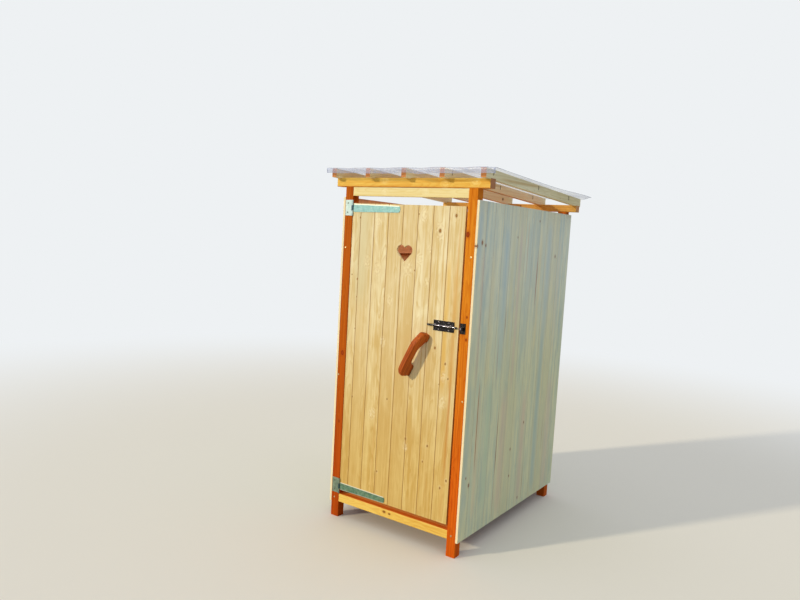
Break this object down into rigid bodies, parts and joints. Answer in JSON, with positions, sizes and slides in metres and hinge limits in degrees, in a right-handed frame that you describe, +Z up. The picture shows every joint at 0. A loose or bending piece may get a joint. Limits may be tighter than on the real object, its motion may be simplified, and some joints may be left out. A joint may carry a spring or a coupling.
{
  "type": "wooden outhouse",
  "caption": "Small outhouse on posts: boarded walls, heart-cut door on strap hinges, barrel bolt, sawn wooden handle and a clear lean-to roof sheet on rafters.",
  "frame": {"origin": "on the ground, in the middle of the roof sheet's outline", "axes": "+Z up, -Y out through the door, +X to the right of a visitor facing the door"},
  "size_m": [1.19, 1.4892, 2.2734],
  "materials": {
    "stained_post": "orange-brown stained spruce, square posts",
    "glazed_timber": "honey-coloured glazed spruce",
    "planed_batten": "planed pale spruce batten",
    "rafter_batten": "planed spruce batten on edge",
    "wall_boards": "vertical spruce profile boards, oiled, with knots",
    "door_boards": "tongued and grooved spruce boards with knots",
    "floor_planks": "stained floor planks",
    "clear_sheet": "clear flexible plastic sheet, slightly hazy",
    "galvanised_steel": "galvanised sheet steel with a faint spangle",
    "black_steel": "black lacquered pressed steel",
    "bolt_steel": "black lacquered round bar with worn highlights",
    "handle_wood": "red-brown oiled wood, sawn and rounded"
  },
  "bodies": {
    "cabin": {"post_front_left": "stained_post", "post_front_right": "stained_post", "post_back_left": "stained_post", "post_back_right": "stained_post", "front_purlin": "glazed_timber", "rear_purlin": "glazed_timber", "head_rail": "planed_batten", "sill": "glazed_timber", "left_bottom_rail": "planed_batten", "left_middle_rail": "planed_batten", "left_top_rail": "planed_batten", "right_bottom_rail": "planed_batten", "right_middle_rail": "planed_batten", "right_top_rail": "planed_batten", "back_bottom_rail": "planed_batten", "back_top_rail": "planed_batten", "left_wall": "wall_boards", "right_wall": "wall_boards", "back_wall": "wall_boards", "floor_boards": "floor_planks", "rafter_1": "rafter_batten", "rafter_2": "rafter_batten", "rafter_3": "rafter_batten", "rafter_4": "rafter_batten", "rafter_5": "rafter_batten", "roof_sheet": "clear_sheet", "hinge_plate_upper": "galvanised_steel", "hinge_plate_lower": "galvanised_steel", "bolt_keeper": "black_steel"},
    "door": {"door_board_1": "door_boards", "door_board_2": "door_boards", "door_board_3": "door_boards", "door_board_4": "door_boards", "door_board_5": "door_boards", "door_board_6": "door_boards", "door_board_7": "door_boards", "door_board_8": "door_boards", "door_ledge_upper": "planed_batten", "door_ledge_lower": "planed_batten", "door_brace": "planed_batten", "hinge_strap_upper": "galvanised_steel", "hinge_strap_lower": "galvanised_steel", "bolt_case": "black_steel", "door_handle": "handle_wood"},
    "bolt": {"bolt_rod": "bolt_steel"}
  },
  "joints": [
    {"name": "door_hinge", "type": "hinge", "parent": "cabin", "child": "door", "pos_m": [-0.4395, -0.662, 1.1225], "axis": [0, 0, -1], "range_deg": [0, 150]},
    {"name": "bolt_slide", "type": "slide", "parent": "door", "child": "bolt", "axis": [1, 0, 0], "range_m": [0, 0.042]}
  ]
}
